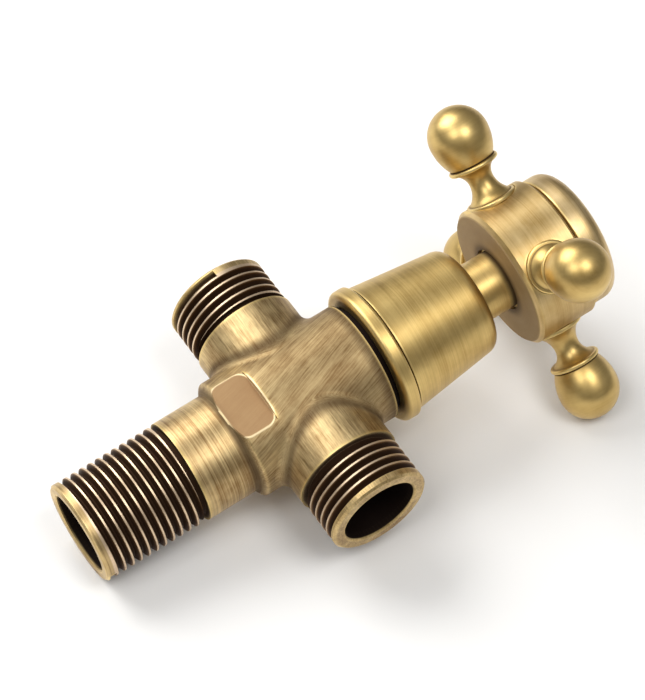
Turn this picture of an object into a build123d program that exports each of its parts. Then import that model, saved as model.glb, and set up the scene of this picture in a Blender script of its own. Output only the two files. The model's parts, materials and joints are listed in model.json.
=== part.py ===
"""Two-outlet angle stop valve with a cross handle, as separate pieces in millimetres.

Each piece is modelled in the valve's own frame: X runs along the stem from the inlet mouth to the
handle, Y points at outlet 1, and the origin is where the outlet axis crosses the stem axis. The
pieces are then laid down as the valve rests on a table, on the inlet rim and two handle balls.
"""
from build123d import *
from math import asin, atan2, cos, degrees, hypot, pi, radians, sin, sqrt, tan
import os

# ---- Pipe threads: parallel 1/2 inch pipe thread on all three ports ----
THREAD_R = 10.4775
THREAD_PITCH = 1.814
THREAD_DEPTH = 1.162
THREAD_HALF_ANGLE = 27.5
THREAD_ROOT_FLAT = 0.25
THREAD_LAND = 1.3
THREAD_RELIEF = 1.2
RELIEF_EXTRA_DEPTH = 0.1
PORT_CHAMFER = 0.45
GROOVE_OVERRUN = 0.2
RUNOUT_CLEARANCE = 0.05

# ---- Valve body ----
BARREL_AHEAD = 15.3
BARREL_BEHIND = 14.5
SHOULDER_STEP = 1.83
SHOULDER_ROUND = 0.7
SHOULDER_CONE = 1.2
TAIL_RISE = 0.14
TAIL_LENGTH = 35.0
INLET_THREAD = 23.0
INLET_WALL = 1.1
OUTLET_REACH = 28.9
OUTLET_THREAD = 10.8
OUTLET_WALL = 1.5
OUTLET_BORE_DEPTH = 15.0
WATERWAY_STEP = 1.3
BRANCH_RISE = 0.27
BRANCH_FILLET = 2.2
MOUTH_CHAMFER = 0.3
FLAT_DEPTH = 1.75
FLAT_LENGTH = 7.0
FLAT_CORNER = 2.6
SEAT_X = -8.5
SEAT_WEB = 2.5
ORIFICE_R = 5.0
SPIGOT_STEP = 1.25
SPIGOT_LENGTH = 3.2
SPIGOT_CHAMFER = 0.4

# ---- Bonnet cover ----
COVER_GAP = 1.15
BEAD_OVERHANG = 1.95
BEAD_LENGTH = 3.1
BEAD_LIP = 1.0
COVER_GROOVE = 0.35
COVER_GROOVE_DEPTH = 0.3
COVER_STEP = 0.8
COVER_TAPER = 2.5
COVER_ROUND = 4.2
COVER_LENGTH = 23.9
COVER_WALL = 1.3

# ---- Cartridge ----
SPIGOT_WALL = 1.85
SHANK_STEP = 0.4
HOUSING_WALL = 1.2
HOUSING_FOOT = 0.1
HOUSING_THREAD = 10.0
SEAL_WIDTH = 2.2
SEAL_HEIGHT = 1.8
FIXED_DISC = 3.0
MOVING_DISC = 2.8
DISC_GAP = 0.02
DISC_RIM = 1.7
DISC_HUB_R = 2.2
PORT_ANGLE = 80.0
SLOT_WIDTH = 3.2
SLOT_LENGTH = 9.0
SLOT_DEPTH = 1.2
HEAD_LENGTH = 4.9
THRUST_WASHER = 0.5
THRUST_WASHER_GAP = 0.5
WINDOW_LENGTH = 4.4
WINDOW_WIDTH = 8.0
WASHER_THICKNESS = 1.0
FLANGE_LENGTH = 1.0
HEX_INSET = 0.23
HEX_LENGTH = 5.0
NECK_R = 7.0
NECK_DROP = 4.7

# ---- Spindle ----
STEM_R = 4.2
STEM_CLEARANCE = 0.05
HEAD_STEP = 1.4
O_RING_FIRST = 8.94
O_RING_SPACING = 6.0
O_RING_GROOVE = 1.6
O_RING_GROOVE_DEPTH = 1.1
O_RING_CLEARANCE = 0.015
CLIP_RISE = 1.4
CLIP_THICKNESS = 0.8
CLIP_GROOVE_DEPTH = 0.6
CLIP_MOUTH = 2.6
SPLINE_STEP = 0.3
SPLINE_DEPTH = 0.4
SPLINE_TEETH = 20
SPLINE_LENGTH = 12.6

# ---- Handle ----
HANDLE_REST_TURN = 39.0
SLEEVE_SHOWN = 6.9
HUB_R = 14.8
HUB_LENGTH = 13.5
HUB_CHAMFER = 0.9
HUB_TOP_CHAMFER = 0.5
SLEEVE_R = 6.15
SLEEVE_BORE_CLEARANCE = 0.4
SLEEVE_SEAT = 3.5
SLEEVE_START = 1.9
SLEEVE_CLEARANCE = 0.3
MOUTH_RELIEF_WIDTH = 0.6
MOUTH_RELIEF = 0.7
BUSH_STEP = 0.15
BUSH_LENGTH = 6.0
BUSH_FLOOR = 0.9
HUB_WALL = 3.8
SCREW_R = 1.9
SCREW_LENGTH = 10.0
SCREW_HEAD_R = 3.6
SCREW_HEAD = 2.4
SCREW_SOCKET = 2.5
SCREW_SOCKET_DEPTH = 1.3
LOCK_WASHER = 0.8
LOCK_WASHER_R = 4.3

# ---- Handle arms, measured out from the stem axis ----
ARM_COUNT = 4
ARM_HEIGHT = 6.4
ARM_SPOT_DEPTH = 0.8
TENON_R = 2.3
TENON_LENGTH = 4.6
FOOT_R = 5.2
FOOT_THICKNESS = 0.85
FOOT_LIP = 0.6
WAIST_R = 2.55
WAIST_REACH = 4.8
COLLAR_REACH = 7.8
COLLAR_STEP = 1.0
COLLAR_THICKNESS = 0.85
COLLAR_LIP = 0.7
COLLAR_ROUND = 0.35
BALL_REACH = 14.5
BALL_R = 6.2
BALL_BACK_SPARE = 2.75

# ---- Index cap ----
CAP_GAP = 0.5
CAP_STEP = 0.9
CAP_GROOVE_DEPTH = 1.1
CAP_ROUND = 4.5
CAP_EDGE = 5.9
CAP_EDGE_ROUND = 0.35
CAP_DOME = 0.7
CAP_WALL = 1.9
CAP_ROOF = 3.4
CAP_RING_WIDTH = 1.3
CAP_RING_GROOVE_DEPTH = 0.9

# ---- Fits, and how far a cut runs past what it cuts ----
THREAD_FIT = 0.05
PRESS_FIT = 0.02
SEAT_CLEARANCE = 0.1
PAST = 1.0

# ---- Places along the stem that follow from the sizes above ----
SHOULDER_X = -BARREL_BEHIND
INLET_X = SHOULDER_X - TAIL_LENGTH
SPIGOT_TOP_X = BARREL_AHEAD + SPIGOT_LENGTH
COVER_X = BARREL_AHEAD + COVER_GAP
COVER_TOP_X = COVER_X + COVER_LENGTH
FLANGE_X = SPIGOT_TOP_X + WASHER_THICKNESS
HEX_X = FLANGE_X + FLANGE_LENGTH
FIXED_DISC_X = SEAT_X + SEAL_HEIGHT
HOUSING_FOOT_X = FIXED_DISC_X + HOUSING_FOOT
MOVING_DISC_X = FIXED_DISC_X + FIXED_DISC + DISC_GAP
HEAD_X = MOVING_DISC_X + MOVING_DISC
HEAD_TOP_X = HEAD_X + DISC_GAP + HEAD_LENGTH
CAVITY_TOP_X = HEAD_TOP_X + THRUST_WASHER + DISC_GAP
NECK_TOP_X = COVER_TOP_X - NECK_DROP
CLIP_X = NECK_TOP_X + SLEEVE_CLEARANCE
SLEEVE_X = NECK_TOP_X + SLEEVE_START
HUB_X = COVER_TOP_X + SLEEVE_SHOWN
ARM_X = HUB_X + ARM_HEIGHT
SLEEVE_SEAT_X = HUB_X + SLEEVE_SEAT
BUSH_TOP_X = SLEEVE_SEAT_X + BUSH_LENGTH
SPINDLE_TOP_X = BUSH_TOP_X - BUSH_FLOOR - SEAT_CLEARANCE
HUB_TOP_X = HUB_X + HUB_LENGTH
CAP_X = HUB_TOP_X + CAP_GAP
CAP_FOOT_X = BUSH_TOP_X + LOCK_WASHER
CAP_RING_X = (CAP_FOOT_X + HUB_TOP_X) / 2
O_RING_X = (CAVITY_TOP_X + O_RING_FIRST, CAVITY_TOP_X + O_RING_FIRST + O_RING_SPACING)

# ---- Radii and reaches that follow from the sizes above ----
THREAD_ROOT_R = THREAD_R - THREAD_DEPTH
TAIL_R = THREAD_R + TAIL_RISE
BRANCH_R = THREAD_R + BRANCH_RISE
INLET_BORE_R = THREAD_ROOT_R - INLET_WALL
OUTLET_BORE_R = THREAD_ROOT_R - OUTLET_WALL
WATERWAY_R = OUTLET_BORE_R - WATERWAY_STEP
BARREL_R = TAIL_R + SHOULDER_STEP
SPIGOT_R = BARREL_R - SPIGOT_STEP
CHAMBER_R = SPIGOT_R - SPIGOT_WALL
SHANK_R = CHAMBER_R - THREAD_FIT
HOUSING_R = SHANK_R - SHANK_STEP
CAVITY_R = HOUSING_R - HOUSING_WALL
DISC_R = CAVITY_R - SEAT_CLEARANCE
PORT_OUTER_R = DISC_R - DISC_RIM
SEAL_OUTER_R = DISC_R - SEAT_CLEARANCE
STEM_BORE_R = STEM_R + STEM_CLEARANCE
HEAD_R = STEM_R + HEAD_STEP
O_RING_GROOVE_R = STEM_R - O_RING_GROOVE_DEPTH
CLIP_GROOVE_R = STEM_R - CLIP_GROOVE_DEPTH
CLIP_R = STEM_R + CLIP_RISE
SPLINE_R = STEM_R - SPLINE_STEP
BEAD_R = BARREL_R + BEAD_OVERHANG
COVER_BASE_R = BEAD_R - COVER_STEP
COVER_TIP_R = COVER_BASE_R - COVER_TAPER
SLEEVE_BORE_R = STEM_R + SLEEVE_BORE_CLEARANCE
SLEEVE_HOLE_R = SLEEVE_R + SLEEVE_CLEARANCE
BUSH_R = SLEEVE_R - BUSH_STEP
RECESS_R = HUB_R - HUB_WALL
ARM_SEAT = HUB_R - ARM_SPOT_DEPTH
WAIST_S = ARM_SEAT + WAIST_REACH
COLLAR_S = ARM_SEAT + COLLAR_REACH
COLLAR_END_S = COLLAR_S + COLLAR_THICKNESS
BALL_S = ARM_SEAT + BALL_REACH
BALL_BACK = BALL_S - COLLAR_END_S + BALL_BACK_SPARE
COLLAR_R = BALL_R - COLLAR_STEP
CAP_R = HUB_R - CAP_STEP
CAP_PLUG_R = RECESS_R - SEAT_CLEARANCE
CAP_RING_GROOVE_R = CAP_PLUG_R - CAP_RING_GROOVE_DEPTH


# ---- Shared shapes ----
def turned(outline):
    """A solid of revolution about the stem axis, from (x, radius) points."""
    return revolve(make_face(Polyline(*outline, close=True)), Axis.X)


def rounded_turned(outline, rounds):
    """A turned solid whose outline has some corners rounded: {point number: radius}."""
    face = make_face(Polyline(*outline, close=True))
    for number, radius in rounds.items():
        corner = face.vertices().sort_by_distance(outline[number])[0]
        face = fillet(corner, radius)
    return revolve(face, Axis.X)


def rod(start, end, radius):
    """A plain cylinder on the stem axis."""
    return turned([(start, 0), (end, 0), (end, radius), (start, radius)])


def tube(start, end, outer, inner):
    """A plain ring on the stem axis."""
    return turned([(start, inner), (end, inner), (end, outer), (start, outer)])


def o_ring(middle, inner, outer):
    """A round rubber ring on the stem axis between two radii."""
    section_r = (outer - inner) / 2
    section = Pos(middle, inner + section_r) * Circle(section_r)
    return revolve(section, Axis.X)


def along_stem(start, end, sketch):
    """A sketch, drawn square to the stem, pulled from one place to another."""
    plane = Plane(origin=(start, 0, 0), x_dir=(0, 1, 0), z_dir=(1, 0, 0))
    return extrude(plane * sketch, end - start)


def toothed_section(outer, depth, teeth):
    """A spline section: triangular teeth round a shaft."""
    points = []
    for number in range(2 * teeth):
        angle = pi * number / teeth
        radius = outer - depth * (number % 2)
        points.append((radius * cos(angle), radius * sin(angle)))
    return make_face(Polyline(*points, close=True))


def on_port(direction, reach):
    """The place of a port's mouth: local Z points out of the valve."""
    across = (1, 0, 0) if direction[0] == 0 else (0, 1, 0)
    centre = tuple(reach * part for part in direction)
    return Plane(origin=centre, x_dir=across, z_dir=direction).location


# ---- Threads ----
def thread_groove(length):
    """The helical groove of a port's thread, its mouth at z = 0 and the body below."""
    reach = THREAD_DEPTH + GROOVE_OVERRUN
    root_half = THREAD_ROOT_FLAT / 2
    top_half = root_half + reach * tan(radians(THREAD_HALF_ANGLE))
    start = top_half + RUNOUT_CLEARANCE - length
    path = Helix(pitch=THREAD_PITCH, height=-THREAD_LAND - start, radius=THREAD_ROOT_R)
    corners = [(0, -root_half), (reach, -top_half), (reach, top_half), (0, root_half)]
    section_plane = Plane(origin=path @ 0, x_dir=(1, 0, 0), z_dir=path % 0)
    section = section_plane * make_face(Polyline(*corners, close=True))
    groove = sweep(section, path=path, is_frenet=True)
    return Pos(0, 0, start) * groove


def thread_relief(length):
    """The plain ring cut where the thread ends."""
    outer = Cylinder(THREAD_R + PAST, THREAD_RELIEF)
    ring = outer - Cylinder(THREAD_ROOT_R - RELIEF_EXTRA_DEPTH, THREAD_RELIEF)
    return Pos(0, 0, -length + THREAD_RELIEF / 2) * ring


def port_blank(length, radius, run):
    """A port's plain metal: threaded end, then the smooth tube behind it."""
    end = Pos(0, 0, -length / 2) * Cylinder(THREAD_R, length)
    mouth_edge = end.edges().group_by(Axis.Z)[-1]
    end = chamfer(mouth_edge, PORT_CHAMFER)
    tube_part = Pos(0, 0, -(length + run) / 2) * Cylinder(radius, run - length)
    return end + tube_part


def port_bore(radius, depth):
    """A port's water way, with its mouth edge broken."""
    way = Pos(0, 0, -depth / 2) * Cylinder(radius, depth)
    lead = Pos(0, 0, -MOUTH_CHAMFER / 2) * Cone(radius, radius + MOUTH_CHAMFER, MOUTH_CHAMFER)
    return way + lead


# ---- Pieces that stand still ----
def make_valve_body():
    inlet = on_port((-1, 0, 0), -INLET_X)
    outlets = [on_port((0, side, 0), OUTLET_REACH) for side in (1, -1)]
    barrel = rounded_turned(
        [
            (SHOULDER_X - SHOULDER_CONE, 0),
            (SHOULDER_X - SHOULDER_CONE, TAIL_R),
            (SHOULDER_X, BARREL_R),
            (BARREL_AHEAD, BARREL_R),
            (BARREL_AHEAD, 0),
        ],
        {2: SHOULDER_ROUND},
    )
    branches = Part()
    for place in outlets:
        run = OUTLET_REACH - OUTLET_THREAD
        branches += place * Pos(0, 0, -OUTLET_THREAD - run / 2) * Cylinder(BRANCH_R, run)
    cross = barrel + branches
    seams = [edge for edge in cross.edges() if is_branch_seam(edge)]
    cross = fillet(seams, BRANCH_FILLET)
    cross -= wrench_flats()
    cross += inlet * port_blank(INLET_THREAD, TAIL_R, SHOULDER_X - INLET_X)
    for place in outlets:
        cross += place * port_blank(OUTLET_THREAD, BRANCH_R, OUTLET_THREAD + PAST)
    spigot = rod(BARREL_AHEAD - PAST, SPIGOT_TOP_X, SPIGOT_R)
    cross += chamfer(spigot.edges().group_by(Axis.X)[-1], SPIGOT_CHAMFER)
    cross -= inlet * port_bore(INLET_BORE_R, SEAT_X - SEAT_WEB - INLET_X)
    cross -= rod(SEAT_X - SEAT_WEB - PAST, SEAT_X + PAST, ORIFICE_R)
    cross -= rod(SEAT_X, SPIGOT_TOP_X + PAST, CHAMBER_R)
    for place in outlets:
        cross -= place * port_bore(OUTLET_BORE_R, OUTLET_BORE_DEPTH)
        cross -= place * Pos(0, 0, -OUTLET_REACH / 2) * Cylinder(WATERWAY_R, OUTLET_REACH)
    cuts = [(inlet, INLET_THREAD), (outlets[0], OUTLET_THREAD), (outlets[1], OUTLET_THREAD)]
    for place, length in cuts:
        cross -= place * thread_relief(length)
        cross -= place * thread_groove(length)
    return cross


def is_branch_seam(edge):
    """True for the curves where a branch runs into the barrel."""
    middle = edge @ 0.5
    off_axis = hypot(middle.Y, middle.Z)
    return abs(off_axis - BARREL_R) < 0.01 and abs(middle.X) < BRANCH_R + 0.1


def wrench_flats():
    """What is milled off the barrel's top and bottom behind the shoulder."""
    length = FLAT_LENGTH + SHOULDER_CONE
    middle = SHOULDER_X + FLAT_LENGTH - length / 2
    block = Box(length, 2 * BARREL_R, BARREL_R, align=(Align.CENTER, Align.CENTER, Align.MIN))
    end_edges = block.edges().filter_by(Axis.Z).group_by(Axis.X)[-1]
    upper = Pos(middle, 0, BARREL_R - FLAT_DEPTH) * chamfer(end_edges, FLAT_CORNER)
    return upper + mirror(upper, Plane.XY)


def make_bonnet_cover():
    bead_end = COVER_X + BEAD_LENGTH
    wall_start = bead_end + COVER_GROOVE
    shell = rounded_turned(
        [
            (COVER_X, 0),
            (COVER_X, BEAD_R - BEAD_LIP),
            (COVER_X + BEAD_LIP, BEAD_R),
            (bead_end - BEAD_LIP, BEAD_R),
            (bead_end, COVER_BASE_R),
            (bead_end, COVER_BASE_R - COVER_GROOVE_DEPTH),
            (wall_start, COVER_BASE_R - COVER_GROOVE_DEPTH),
            (wall_start, COVER_BASE_R),
            (COVER_TOP_X, COVER_TIP_R),
            (COVER_TOP_X, 0),
        ],
        {2: BEAD_LIP, 3: BEAD_LIP, 8: COVER_ROUND},
    )
    inner_top = COVER_TOP_X - COVER_WALL
    hollow = rounded_turned(
        [
            (SPIGOT_TOP_X, 0),
            (SPIGOT_TOP_X, COVER_BASE_R - COVER_WALL),
            (inner_top, COVER_TIP_R - COVER_WALL),
            (inner_top, 0),
        ],
        {2: COVER_ROUND - COVER_WALL},
    )
    shell -= hollow
    shell -= rod(COVER_X - PAST, SPIGOT_TOP_X + PAST, SPIGOT_R + THREAD_FIT)
    return shell - rod(inner_top - PAST, COVER_TOP_X + PAST, SLEEVE_HOLE_R)


def make_cartridge_housing():
    thread_x = SPIGOT_TOP_X - HOUSING_THREAD
    housing = turned(
        [
            (HOUSING_FOOT_X, 0),
            (HOUSING_FOOT_X, HOUSING_R),
            (thread_x, HOUSING_R),
            (thread_x, SHANK_R),
            (FLANGE_X, SHANK_R),
            (FLANGE_X, SPIGOT_R),
            (HEX_X, SPIGOT_R),
            (HEX_X, NECK_R),
            (NECK_TOP_X, NECK_R),
            (NECK_TOP_X, 0),
        ]
    )
    hexagon = RegularPolygon(SPIGOT_R - HEX_INSET, 6)
    housing += along_stem(HEX_X, HEX_X + HEX_LENGTH, hexagon)
    housing -= rod(HOUSING_FOOT_X - PAST, CAVITY_TOP_X, CAVITY_R)
    housing -= rod(CAVITY_TOP_X - PAST, NECK_TOP_X + PAST, STEM_BORE_R)
    window = Box(WINDOW_LENGTH, 4 * HOUSING_R, WINDOW_WIDTH)
    return housing - Pos(HEAD_X + WINDOW_LENGTH / 2, 0, 0) * window


def make_body_washer():
    return tube(SPIGOT_TOP_X, FLANGE_X, SPIGOT_R, CHAMBER_R)


def make_seat_seal():
    return tube(SEAT_X, FIXED_DISC_X, SEAL_OUTER_R, SEAL_OUTER_R - SEAL_WIDTH)


def disc_ports(start, end, turn):
    """The two sector-shaped water ports of a ceramic disc."""
    sector = Sketch()
    reach = 2 * PORT_OUTER_R
    spread = radians(PORT_ANGLE / 2)
    for side in (0, 180):
        middle = radians(turn + side)
        corners = [(0, 0)]
        for angle in (middle - spread, middle, middle + spread):
            corners.append((reach * cos(angle), reach * sin(angle)))
        sector += make_face(Polyline(*corners, close=True))
    ring = Circle(PORT_OUTER_R) - Circle(DISC_HUB_R)
    return along_stem(start - PAST, end + PAST, ring & sector)


def make_fixed_disc():
    end = FIXED_DISC_X + FIXED_DISC
    return rod(FIXED_DISC_X, end, DISC_R) - disc_ports(FIXED_DISC_X, end, 0)


# ---- Pieces that turn with the handle ----
def make_moving_disc():
    disc = rod(MOVING_DISC_X, HEAD_X, DISC_R) - disc_ports(MOVING_DISC_X, HEAD_X, 90)
    slot = Box(SLOT_DEPTH * 2, SLOT_LENGTH + 2 * PRESS_FIT, SLOT_WIDTH + 2 * PRESS_FIT)
    return disc - Pos(HEAD_X, 0, 0) * slot


def make_spindle():
    spline_x = SPINDLE_TOP_X - SPLINE_LENGTH
    spindle = turned(
        [
            (HEAD_X + DISC_GAP, 0),
            (HEAD_X + DISC_GAP, HEAD_R),
            (HEAD_TOP_X, HEAD_R),
            (HEAD_TOP_X, STEM_R),
            (CLIP_X, STEM_R),
            (CLIP_X, CLIP_GROOVE_R),
            (CLIP_X + CLIP_THICKNESS, CLIP_GROOVE_R),
            (CLIP_X + CLIP_THICKNESS, STEM_R),
            (spline_x, STEM_R),
            (spline_x, 0),
        ]
    )
    spindle += along_stem(spline_x, SPINDLE_TOP_X, toothed_section(SPLINE_R, SPLINE_DEPTH, SPLINE_TEETH))
    lug_depth = SLOT_DEPTH - DISC_GAP
    lug = Box(lug_depth + PAST, SLOT_LENGTH, SLOT_WIDTH, align=(Align.MIN, Align.CENTER, Align.CENTER))
    spindle += Pos(HEAD_X - lug_depth, 0, 0) * lug
    half = O_RING_GROOVE / 2
    for middle in O_RING_X:
        spindle -= tube(middle - half, middle + half, STEM_R + PAST, O_RING_GROOVE_R)
    tapped_x = CAP_FOOT_X - SCREW_LENGTH - PAST
    return spindle - rod(tapped_x, SPINDLE_TOP_X + PAST, SCREW_R + PRESS_FIT)


def make_spindle_o_ring(middle):
    return o_ring(middle, O_RING_GROOVE_R + PRESS_FIT, STEM_BORE_R - O_RING_CLEARANCE)


def make_thrust_washer():
    return tube(HEAD_TOP_X, HEAD_TOP_X + THRUST_WASHER, CAVITY_R - THRUST_WASHER_GAP, STEM_BORE_R)


def make_retaining_clip():
    ring = tube(CLIP_X, CLIP_X + CLIP_THICKNESS, CLIP_R, CLIP_GROOVE_R + PRESS_FIT)
    return ring - Pos(CLIP_X, CLIP_R, 0) * Box(4 * CLIP_THICKNESS, 2 * CLIP_R, CLIP_MOUTH)


def make_handle_sleeve():
    return tube(SLEEVE_X, SLEEVE_SEAT_X, SLEEVE_R, SLEEVE_BORE_R)


def make_handle_hub():
    hub = turned(
        [
            (HUB_X, 0),
            (HUB_X, HUB_R - HUB_CHAMFER),
            (HUB_X + HUB_CHAMFER, HUB_R),
            (HUB_TOP_X - HUB_TOP_CHAMFER, HUB_R),
            (HUB_TOP_X, HUB_R - HUB_TOP_CHAMFER),
            (HUB_TOP_X, 0),
        ]
    )
    hub -= rod(HUB_X - PAST, HUB_X + MOUTH_RELIEF, SLEEVE_R + MOUTH_RELIEF_WIDTH)
    hub -= rod(HUB_X - PAST, SLEEVE_SEAT_X, SLEEVE_R + PRESS_FIT)
    hub -= rod(SLEEVE_SEAT_X - PAST, BUSH_TOP_X + PAST, BUSH_R + PRESS_FIT)
    hub -= rod(BUSH_TOP_X, HUB_TOP_X + PAST, RECESS_R)
    for number in range(ARM_COUNT):
        hub -= on_arm(number, arm_socket())
    return hub


def arm_socket():
    """The spot face and tapped hole for one arm, along local X from the stem axis."""
    seat = rod(ARM_SEAT, HUB_R + PAST, FOOT_R + SEAT_CLEARANCE)
    hole = rod(ARM_SEAT - TENON_LENGTH - SEAT_CLEARANCE, ARM_SEAT + PAST, TENON_R + PRESS_FIT)
    return seat + hole


def on_arm(number, shape):
    """Lay a shape, made along the stem axis, out along one handle arm."""
    turn = HANDLE_REST_TURN + 360 / ARM_COUNT * number
    return Pos(ARM_X, 0, 0) * Rot(X=turn) * Rot(Z=90) * shape


def make_handle_arm(number):
    foot_top = ARM_SEAT + FOOT_THICKNESS
    foot_cove = (foot_top, FOOT_R - FOOT_LIP)
    collar_cove = (COLLAR_S, COLLAR_R - COLLAR_LIP)
    neck_r = BALL_R * sqrt(1 - ((BALL_S - COLLAR_END_S) / BALL_BACK) ** 2)
    tip = (BALL_S + BALL_R, 0)
    equator = (BALL_S, BALL_R)
    tenon_end = ARM_SEAT - TENON_LENGTH
    foot = Polyline(
        tip,
        (tenon_end, 0),
        (tenon_end, TENON_R),
        (ARM_SEAT, TENON_R),
        (ARM_SEAT, FOOT_R),
        (foot_top, FOOT_R),
        foot_cove,
    )
    waist = (WAIST_S, WAIST_R)
    lower_cove = TangentArc(waist, foot_cove, tangent=(-1, 0))
    upper_cove = TangentArc(waist, collar_cove, tangent=(1, 0))
    collar = Polyline(
        collar_cove,
        (COLLAR_S, COLLAR_R),
        (COLLAR_END_S, COLLAR_R),
        (COLLAR_END_S, neck_r),
    )
    back_angle = degrees(asin(neck_r / BALL_R))
    back = EllipticalCenterArc((BALL_S, 0), BALL_BACK, BALL_R, 90, arc_size=90 - back_angle)
    front = ThreePointArc(equator, (BALL_S + BALL_R * sin(pi / 4), BALL_R * cos(pi / 4)), tip)
    outline = make_face([foot, lower_cove, upper_cove, collar, back, front])
    for corner in ((COLLAR_S, COLLAR_R), (COLLAR_END_S, COLLAR_R), (foot_top, FOOT_R)):
        outline = fillet(outline.vertices().sort_by_distance(corner)[0], COLLAR_ROUND)
    return on_arm(number, revolve(outline, Axis.X))


def make_spline_bush():
    bush = rod(SLEEVE_SEAT_X, BUSH_TOP_X, BUSH_R)
    pocket = toothed_section(SPLINE_R + PRESS_FIT, SPLINE_DEPTH, SPLINE_TEETH)
    bush -= along_stem(SLEEVE_SEAT_X - PAST, BUSH_TOP_X - BUSH_FLOOR, pocket)
    return bush - rod(SLEEVE_SEAT_X, BUSH_TOP_X + PAST, SCREW_R + SEAT_CLEARANCE)


def make_screw_lock_washer():
    return tube(BUSH_TOP_X, CAP_FOOT_X, LOCK_WASHER_R, SCREW_R + SEAT_CLEARANCE)


def make_handle_screw():
    head_end = CAP_FOOT_X + SCREW_HEAD
    screw = rod(CAP_FOOT_X - SCREW_LENGTH, CAP_FOOT_X, SCREW_R) + rod(CAP_FOOT_X, head_end, SCREW_HEAD_R)
    socket = RegularPolygon(SCREW_SOCKET / 2, 6, major_radius=False)
    return screw - along_stem(head_end - SCREW_SOCKET_DEPTH, head_end + PAST, socket)


def cap_outline():
    """Half of the cap's head: a flat underside, a rounded rim and a slightly domed face."""
    edge_x = CAP_X + CAP_EDGE
    dome_r = CAP_R - CAP_ROUND
    sphere_r = (dome_r**2 + CAP_DOME**2) / (2 * CAP_DOME)
    half_angle = asin(dome_r / sphere_r) / 2
    crown = edge_x + CAP_DOME
    dome_middle = (crown - sphere_r * (1 - cos(half_angle)), sphere_r * sin(half_angle))
    sides = Polyline((crown, 0), (CAP_X, 0), (CAP_X, CAP_R), (edge_x - CAP_ROUND, CAP_R))
    rim = CenterArc((edge_x - CAP_ROUND, dome_r), CAP_ROUND, 0, 90)
    dome = ThreePointArc((edge_x, dome_r), dome_middle, (crown, 0))
    return make_face([sides, rim, dome])


def make_index_cap():
    outline = cap_outline()
    lower_edge = outline.vertices().sort_by_distance((CAP_X, CAP_R))[0]
    cap = revolve(fillet(lower_edge, CAP_EDGE_ROUND), Axis.X)
    cap += rod(HUB_TOP_X, CAP_X + PAST, CAP_R - CAP_GROOVE_DEPTH)
    cap += rod(CAP_FOOT_X + SEAT_CLEARANCE, CAP_X + PAST, CAP_PLUG_R)
    half = CAP_RING_WIDTH / 2
    cap -= tube(CAP_RING_X - half, CAP_RING_X + half, RECESS_R, CAP_RING_GROOVE_R)
    return cap - rod(CAP_FOOT_X, CAP_X + CAP_EDGE - CAP_ROOF, CAP_PLUG_R - CAP_WALL)


def make_cap_o_ring():
    return o_ring(CAP_RING_X, CAP_RING_GROOVE_R + PRESS_FIT, RECESS_R - PRESS_FIT)


def make_pieces():
    """Every piece by its node name, in the valve's own frame."""
    pieces = {
        "valve_body": make_valve_body(),
        "bonnet_cover": make_bonnet_cover(),
        "cartridge_housing": make_cartridge_housing(),
        "body_washer": make_body_washer(),
        "seat_seal": make_seat_seal(),
        "fixed_ceramic_disc": make_fixed_disc(),
        "moving_ceramic_disc": make_moving_disc(),
        "spindle": make_spindle(),
        "spindle_o_ring_lower": make_spindle_o_ring(O_RING_X[0]),
        "spindle_o_ring_upper": make_spindle_o_ring(O_RING_X[1]),
        "thrust_washer": make_thrust_washer(),
        "retaining_clip": make_retaining_clip(),
        "handle_sleeve": make_handle_sleeve(),
        "handle_hub": make_handle_hub(),
        "spline_bush": make_spline_bush(),
        "screw_lock_washer": make_screw_lock_washer(),
        "handle_screw": make_handle_screw(),
        "index_cap": make_index_cap(),
        "cap_o_ring": make_cap_o_ring(),
    }
    for number in range(ARM_COUNT):
        pieces[f"handle_arm_{number + 1}"] = make_handle_arm(number)
    return pieces


# ---- The valve at rest on a table ----
def rest_turn():
    """The roll and climb that bring the inlet rim and two balls to one level."""
    half_step = 180 / ARM_COUNT
    roll = half_step - HANDLE_REST_TURN
    run = ARM_X - (INLET_X + PORT_CHAMFER)
    drop = BALL_S * cos(radians(half_step)) - THREAD_R
    climb = degrees(atan2(drop, run) + asin(BALL_R / hypot(run, drop)))
    return Rot(Y=-climb) * Rot(X=roll)


def rest_place(pieces):
    """The move that also sets the box's bottom centre at the origin."""
    turn = rest_turn()
    box = Compound([turn * piece for piece in pieces.values()]).bounding_box()
    centre = box.center()
    return Pos(-centre.X, -centre.Y, -box.min.Z) * turn


def main():
    os.makedirs("parts", exist_ok=True)
    pieces = make_pieces()
    place = rest_place(pieces)
    for name, piece in pieces.items():
        export_step(place * piece, f"parts/{name}.step")
    print("rest place", place)


main()
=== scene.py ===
"""Antique brass angle stop valve with a cross handle: its finishes, fine turned surfaces, light and camera.

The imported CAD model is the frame. The bonnet cover, sleeve, cap and the four handle arms are turned again
here as fine surfaces with rounded edges. The body, the hub and the inner pieces stay as they are and take
their finishes. Lengths are in metres, and MM turns a size in millimetres into metres.
"""

import json
import math

import bpy
import numpy as np
from mathutils import Matrix, Vector


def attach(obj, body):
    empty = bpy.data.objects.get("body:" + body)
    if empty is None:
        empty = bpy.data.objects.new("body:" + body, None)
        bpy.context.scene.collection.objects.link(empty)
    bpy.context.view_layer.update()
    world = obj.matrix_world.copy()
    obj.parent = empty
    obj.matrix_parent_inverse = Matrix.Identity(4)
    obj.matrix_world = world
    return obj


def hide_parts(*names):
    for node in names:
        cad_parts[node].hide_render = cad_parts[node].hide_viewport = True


bl_info = {
    "name": "Antique Brass Angle Valve",
    "version": (1, 0, 0),
    "blender": (4, 5, 0),
    "location": "3D View > Sidebar > Valve",
    "description": "Turned surfaces, brass finishes, light and camera for an angle stop valve",
    "category": "Object",
}

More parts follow.
